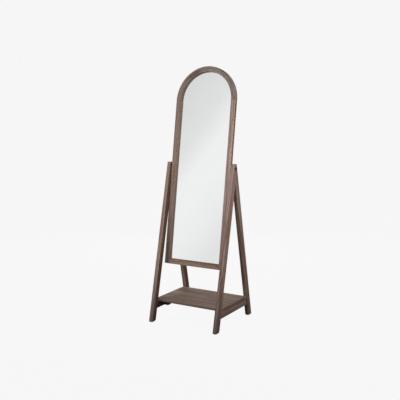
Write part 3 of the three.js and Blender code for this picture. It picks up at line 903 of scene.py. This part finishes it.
def screw_mesh(name, head_radius, head_height, shank, length):
    """A pan-head screw with a cross recess. Its head is below the origin, and its point above."""
    dome = [(0, -head_height)]
    for step in range(1, DOME_STEPS + 1):
        angle = math.pi / 2 * (1 - step / DOME_STEPS)
        dome.append((head_radius * math.cos(angle), -head_height * math.sin(angle)))
    profile = [*dome, (shank, 0), (shank, length - 2 * shank), (0, length)]
    screw = mesh_object(name, lathed(profile, SCREW_STEPS))
    reach = head_radius * CROSS_REACH
    half_width = head_radius * CROSS_HALF_WIDTH
    below = -2 * head_height
    floor = -CROSS_FLOOR * head_height
    cross = [box_solid(Vector((-x, -y, below)), Vector((x, y, floor)))
             for x, y in ((reach, half_width), (half_width, reach))]
    return shaded(cut(screw, cross), TURNED_SMOOTH_ANGLE)


def make_block_screw(side_name, end_name):
    node = f"{side_name}_{end_name}_block_screw"
    low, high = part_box(node)
    screw = screw_mesh(f"{node}_finished", (high.x - low.x) / 2, BLOCK_HEAD_HEIGHT, BLOCK_SHANK_RADIUS,
                       high.z - low.z - BLOCK_HEAD_HEIGHT)
    origin = ((low.x + high.x) / 2, (low.y + high.y) / 2, low.z + BLOCK_HEAD_HEIGHT)
    screw.matrix_world = Matrix.Translation(origin)
    fit(screw, node, "stand", ZINC)


def clip_end(x, start):
    """Points of a clip's round end, through half a turn from the angle start."""
    angles = [start + math.pi * step / CLIP_END_STEPS for step in range(CLIP_END_STEPS + 1)]
    return [(x + CLIP_HALF_WIDTH * math.cos(angle), CLIP_HALF_WIDTH * math.sin(angle), 0)
            for angle in angles]


def make_clip(side_name, number):
    """A round-ended plate, turned so that it reaches from its screw over the backing board."""
    node = f"{side_name}_backing_clip_{number}"
    low, high = extent(node, MIRROR)
    screw_low, screw_high = extent(f"{side_name}_clip_screw_{number}", MIRROR)
    screw = (screw_low + screw_high) / 2
    to_middle = (low + high) / 2 - screw
    to_middle.y = 0
    outline = [*clip_end(0, math.pi / 2), *clip_end(2 * to_middle.length, -math.pi / 2)]
    clip = mesh_object(f"{node}_finished", extruded(outline, (0, 0, high.y - low.y)))
    eased(clip, CLIP_ROUNDING)
    hole = drill((0, 0, 0), (0, 0, 1), CLIP_SHANK_RADIUS + DRILL_CLEARANCE, CLIP_DRILL_LENGTH)
    shaded(cut(clip, [hole]))
    clip.matrix_world = board_axes((screw.x, low.y, screw.z), to_middle, (0, 1, 0))
    fit(clip, node, "mirror", ZINC, MIRROR)


def make_clip_screw(side_name, number):
    node = f"{side_name}_clip_screw_{number}"
    low, high = extent(node, MIRROR)
    screw = screw_mesh(f"{node}_finished", (high.x - low.x) / 2, CLIP_HEAD_HEIGHT, CLIP_SHANK_RADIUS,
                       high.y - low.y - CLIP_HEAD_HEIGHT)
    origin = ((low.x + high.x) / 2, high.y - CLIP_HEAD_HEIGHT, (low.z + high.z) / 2)
    screw.matrix_world = Matrix.Translation(origin) @ Matrix.Rotation(math.pi / 2, 4, "X")
    fit(screw, node, "mirror", ZINC, MIRROR)


def dress_cad_nodes():
    """Gives the CAD nodes that stay their finished materials."""
    looks = {"silvered_glass": SILVER, "hardboard": HARDBOARD, "dowel_wood": BEECH, "brass": BRASS}
    for node, slot in SLOTS.items():
        if slot in looks:
            mesh = frame["nodes"][node].data
            mesh.materials.clear()
            mesh.materials.append(looks[slot])


# ---- Studio ----
BACKGROUND = 0.9216  # the pale grey behind and under the object
FLOOR_DIFFUSE = 0.02
FLOOR_REACH = 40
FAR_LIGHT = 0.16  # what falls on the floor far from the lamps, where it meets the background
SKY_FILL = 0.23  # what matt surfaces get from above the horizon
GROUND_FILL = 0.09  # and from below it
GROUND_SHARE = 0.9  # of the brightness that glossy surfaces see above the horizon, below it
FILL_HORIZON = (-0.1, 0.1)  # the heights of a direction between which the fill changes
GLOSS_HORIZON = (-0.10, -0.02)  # and those between which the brightness does
# What glossy surfaces see: a bright card that slants across the room, dimmer to its upper left and
# lower right. Distance across the card, and brightness.
CARD_SLANT = 1.7
CARD = ((-1.20, 0.73), (-1.10, 0.815), (-1.045, 0.942), (-1.00, 0.950), (-0.93, 0.915), (-0.86, 0.83))

SPOT_RADIUS = 0.5
# Place, target, width of the cone in degrees, and power.
SPOTS = {
    "key": ((-1.9, -2.0, 1.9), (0, 0, 1.05), 60, 170),
    "front": ((0.3, -2.8, 1.7), (0, 0, 0.94), 45, 128),
    "high": ((2.0, -2.0, 2.2), (0, 0, 1.30), 44, 100),
    "side": ((2.7, 0.15, 1.3), (0, 0, 0.85), 48, 92),
}
# Place, target, size and power.
SOFTBOXES = {
    "overhead": ((1.2, 0.9, 2.9), (0, 0, 0.2), 1.6, 9),
    "rear": ((-1.6, 2.4, 1.5), (0, 0, 0.9), 1.8, 42),
}

CAMERA_AZIMUTH = math.radians(30.408)  # to the right of straight in front
CAMERA_PITCH = math.radians(7.19)  # looking down
CAMERA_DISTANCE = 4.0194  # level, from the middle of the object
CAMERA_HEIGHT = 1.2961
CAMERA_SIDESTEP = -0.00783  # along the picture's width
FOCAL_RATIO = 1.56036  # of the picture's width
SENSOR = 36


def make_floor():
    """A pale seamless floor that is lit from within, with only a breath of shadow."""
    surface = Surface("studio_floor")
    glow = surface.add("Emission", Color=grey(1), Strength=BACKGROUND - FLOOR_DIFFUSE * FAR_LIGHT)
    matt = surface.add("BsdfDiffuse", Color=grey(FLOOR_DIFFUSE))
    both = surface.add("AddShader")
    surface.feed(both.inputs[0], glow.outputs[0])
    surface.feed(both.inputs[1], matt.outputs[0])
    bm = bmesh.new()
    corners = ((-1, -1), (1, -1), (1, 1), (-1, 1))
    bm.faces.new([bm.verts.new((FLOOR_REACH * x, FLOOR_REACH * y, 0)) for x, y in corners])
    floor = mesh_object("studio_floor", bm)
    floor.data.materials.append(surface.finish(both))
    floor.visible_diffuse = False
    floor.visible_glossy = False


def slanting_card(studio, direction):
    """The bright card, as seen in a direction."""
    slant = studio.calc("MULTIPLY", direction["Z"], -1)
    across = studio.calc("MULTIPLY_ADD", direction["X"], CARD_SLANT, slant)
    start = CARD[0][0]
    width = CARD[-1][0] - start
    place = studio.calc("DIVIDE", studio.calc("SUBTRACT", across, start), width)
    return studio.ramp(place, [((distance - start) / width, (level,) * 3) for distance, level in CARD])


def make_world():
    """A soft studio all round. The camera sees plain grey, glossy surfaces see the card, and matt ones
    a dim surround that fills their shadows."""
    world = bpy.data.worlds.new("studio")
    bpy.context.scene.world = world
    world.use_nodes = True
    studio = Nodes(world.node_tree)
    generated = studio.add("TexCoord").outputs["Generated"]
    direction = studio.add("SeparateXYZ", Vector=generated).outputs
    ray = studio.add("LightPath").outputs
    ground = studio.spread(direction["Z"], *GLOSS_HORIZON, GROUND_SHARE, 1.0)
    reflected = studio.mixed(ground, grey(0), slanting_card(studio, direction))
    fill = studio.even(studio.spread(direction["Z"], *FILL_HORIZON, GROUND_FILL, SKY_FILL))
    lit = studio.mixed(ray["Is Glossy Ray"], fill, reflected)
    shown = studio.mixed(ray["Is Camera Ray"], lit, grey(BACKGROUND))
    background = studio.add("Background", Color=shown)
    output = studio.add("OutputWorld")
    studio.feed(output.inputs["Surface"], background.outputs[0])


def place_lamp(name, light, location, target):
    """Points a lamp at target. Matt surfaces alone see it, so that it leaves no hard glints."""
    lamp = bpy.data.objects.new(name, light)
    lamp.location = location
    lamp.rotation_euler = (Vector(location) - Vector(target)).to_track_quat("Z", "Y").to_euler()
    lamp.visible_glossy = False
    bpy.context.scene.collection.objects.link(lamp)


def make_spot(name, location, target, cone, power):
    """A big soft spotlight that fades all the way from its middle to the edge of its cone."""
    light = bpy.data.lights.new(name, "SPOT")
    light.energy = power
    light.spot_size = math.radians(cone)
    light.spot_blend = 1
    light.shadow_soft_size = SPOT_RADIUS
    place_lamp(name, light, location, target)


def make_softbox(name, location, target, size, power):
    light = bpy.data.lights.new(name, "AREA")
    light.energy = power
    light.size = size
    place_lamp(name, light, location, target)


def make_camera():
    data = bpy.data.cameras.new("camera")
    data.sensor_width = SENSOR
    data.lens = FOCAL_RATIO * SENSOR
    camera = bpy.data.objects.new("camera", data)
    right = Vector((math.cos(CAMERA_AZIMUTH), math.sin(CAMERA_AZIMUTH), 0))
    away = Vector((math.sin(CAMERA_AZIMUTH), -math.cos(CAMERA_AZIMUTH), 0))
    camera.location = CAMERA_DISTANCE * away + CAMERA_SIDESTEP * right + Vector((0, 0, CAMERA_HEIGHT))
    back = away * math.cos(CAMERA_PITCH) + Vector((0, 0, math.sin(CAMERA_PITCH)))
    camera.rotation_euler = back.to_track_quat("Z", "Y").to_euler()
    bpy.context.scene.collection.objects.link(camera)
    bpy.context.scene.camera = camera


# ---- Assembly ----
make_camera()
make_floor()
make_world()
for name, settings in SPOTS.items():
    make_spot(name, *settings)
for name, settings in SOFTBOXES.items():
    make_softbox(name, *settings)
bpy.context.scene.view_settings.view_transform = "Standard"

for side_name, side in SIDES:
    for end_name, end in ENDS:
        make_leg(side_name, side, end_name, end)
        make_glide(side_name, end_name)
        make_shelf_block(side_name, end_name)
        make_block_screw(side_name, end_name)
    make_side_rail(side_name, side)
    make_stile(side_name, side)
    make_arch_segment(side_name, side)
    make_pivot_bolt(side_name, side)
    make_washer(side_name, side, "head_washer", "stand", BLACK_STEEL)
    make_washer(side_name, side, "friction_washer", "mirror", NYLON)
    for number in (1, 2, 3):
        make_clip(side_name, number)
        make_clip_screw(side_name, number)
make_shelf()
make_bottom_rail()
dress_cad_nodes()
